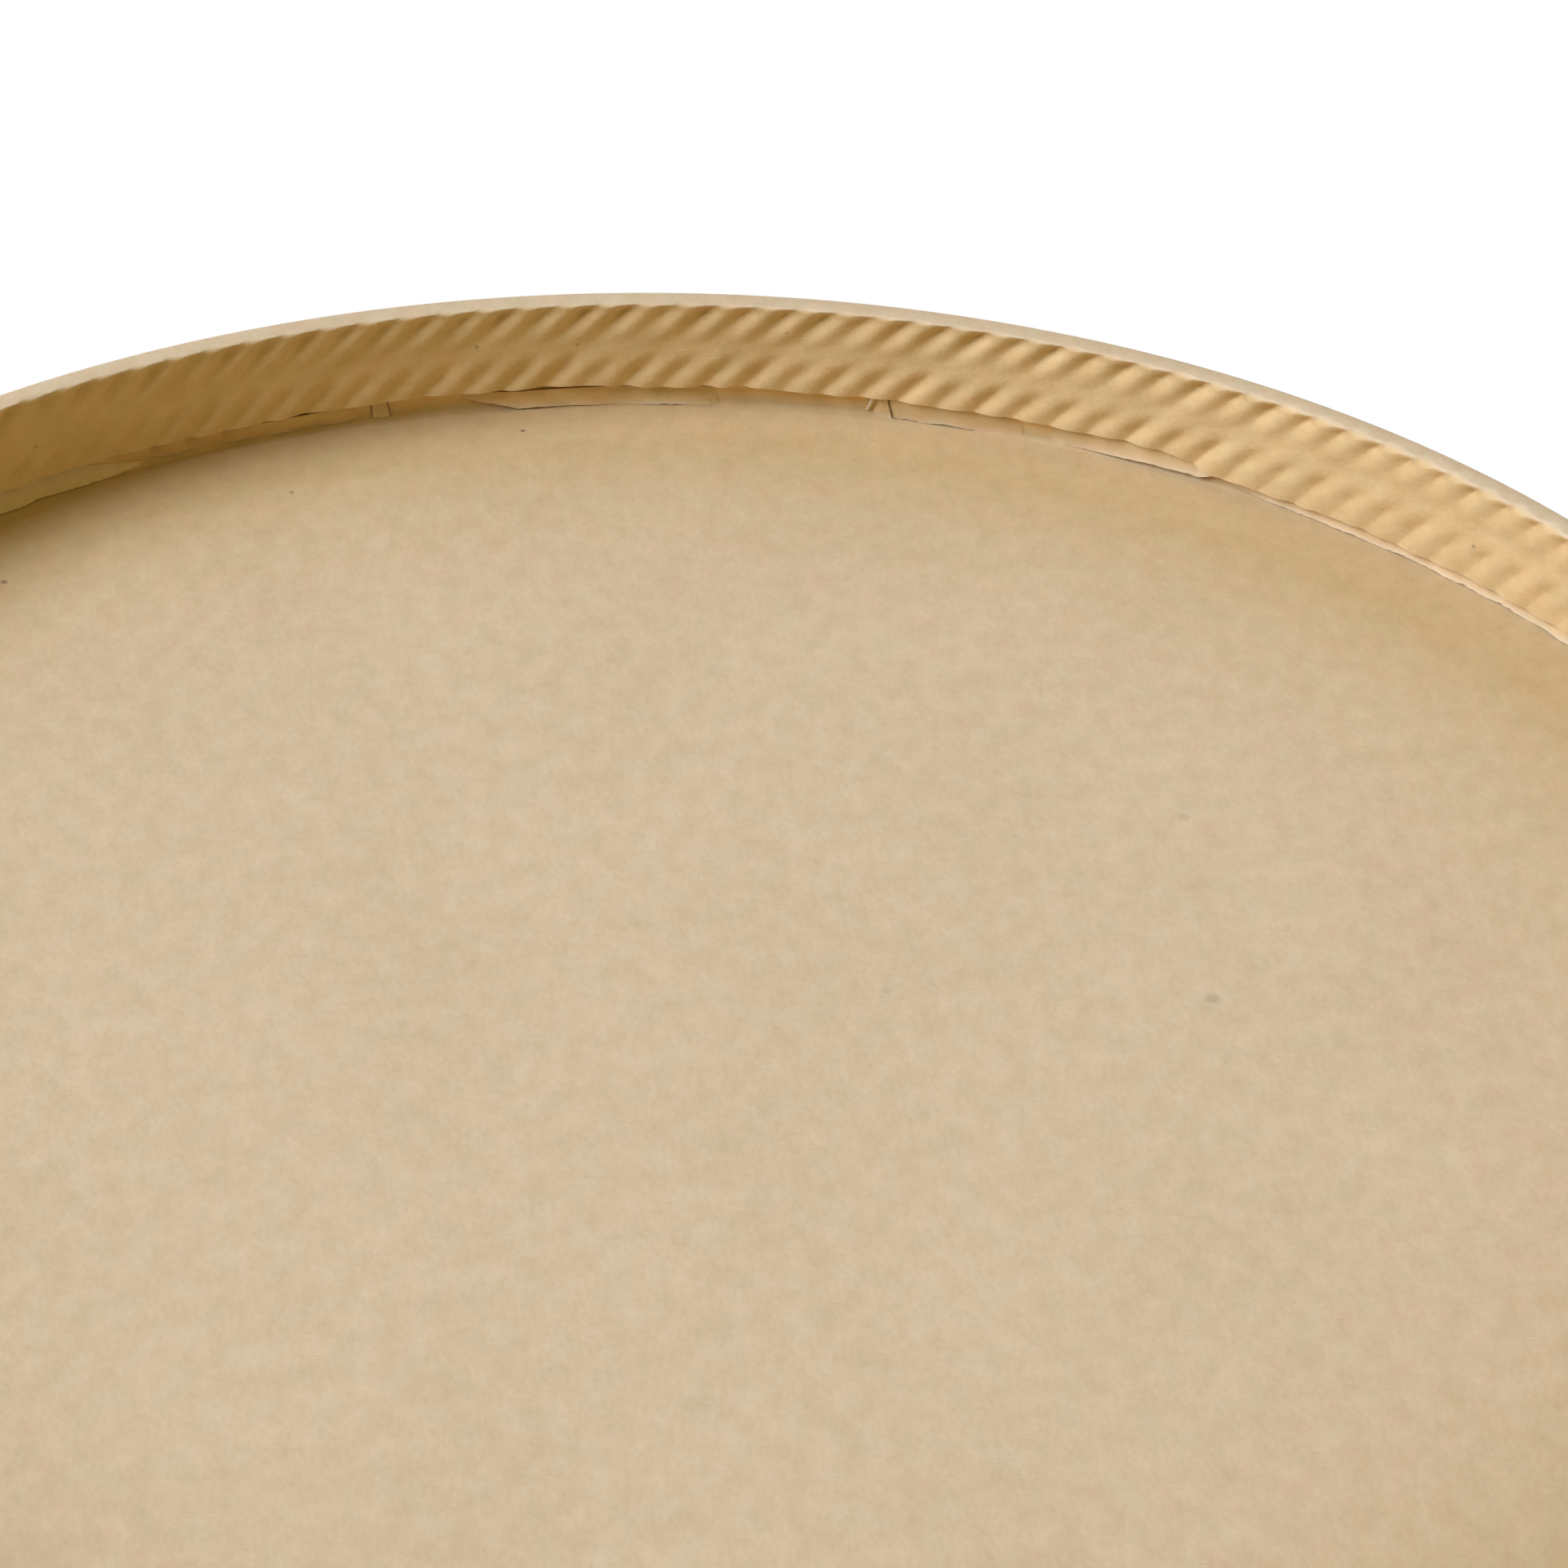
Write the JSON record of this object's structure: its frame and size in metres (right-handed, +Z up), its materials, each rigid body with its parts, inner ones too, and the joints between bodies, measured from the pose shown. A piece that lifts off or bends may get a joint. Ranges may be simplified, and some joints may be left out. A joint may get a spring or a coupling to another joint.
{
  "type": "paper bowl",
  "caption": "Round disposable kraft paper bowl with flared wall, rolled rim and a flat base set up inside a knurled, folded foot; holds a single serving of food.",
  "frame": {"origin": "centre of the foot, on the surface that the bowl stands on", "axes": "+Z up out of the open mouth; the side wall's lap seam is on the +Y side"},
  "size_m": [0.15, 0.15, 0.06],
  "materials": {
    "kraft_wall": "uncoated brown kraft board outside, thin clear lining inside",
    "kraft_base": "uncoated brown kraft board below, thin clear lining above"
  },
  "bodies": {
    "root": {"side_wall": "kraft_wall", "base_disc": "kraft_base"}
  },
  "joints": []
}
